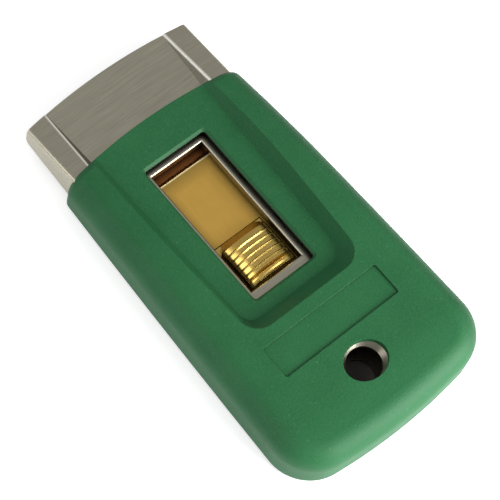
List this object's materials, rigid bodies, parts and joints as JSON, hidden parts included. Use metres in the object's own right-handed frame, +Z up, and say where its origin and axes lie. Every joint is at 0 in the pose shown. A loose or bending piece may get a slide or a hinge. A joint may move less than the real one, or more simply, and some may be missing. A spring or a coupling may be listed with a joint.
{
  "type": "hob scraper",
  "caption": "Retractable scraper: a folded steel case in a soft sleeve, with a ridged thumb slide in a window that pushes out a single-edge blade.",
  "frame": {"origin": "under the middle of the tool, on the surface it lies on", "axes": "+X along the tool to the blade, +Y to the tool's left, +Z up through the window"},
  "size_m": [0.1008, 0.0538, 0.0125],
  "materials": {
    "sleeve_rubber": "matte",
    "brushed_steel": "brushed",
    "bright_steel": "polished",
    "gold_plate": "satin",
    "gold_pad": "polished",
    "spring_steel": "satin",
    "blade_steel": "polished"
  },
  "bodies": {
    "case": {"grip_sleeve": "sleeve_rubber", "case_top": "brushed_steel", "case_back": "brushed_steel", "case_rivets": "bright_steel"},
    "slide": {"slide_plate": "gold_plate", "blade_holder": "brushed_steel", "slide_rivets": "bright_steel", "latch_spring": "spring_steel", "spring_rivet": "bright_steel", "blade": "blade_steel", "blade_spine": "spring_steel"},
    "thumb_pad": {"thumb_pad": "gold_pad"}
  },
  "joints": [
    {"name": "blade_slide", "type": "slide", "parent": "case", "child": "slide", "axis": [1, 0, 0], "range_m": [0, 0.0205]},
    {"name": "thumb_press", "type": "slide", "parent": "slide", "child": "thumb_pad", "axis": [0, 0, -1], "range_m": [0, 0.0006], "stiffness_N_per_m": 1500, "springref_m": -0.001, "deforming": ["latch_spring"]}
  ]
}
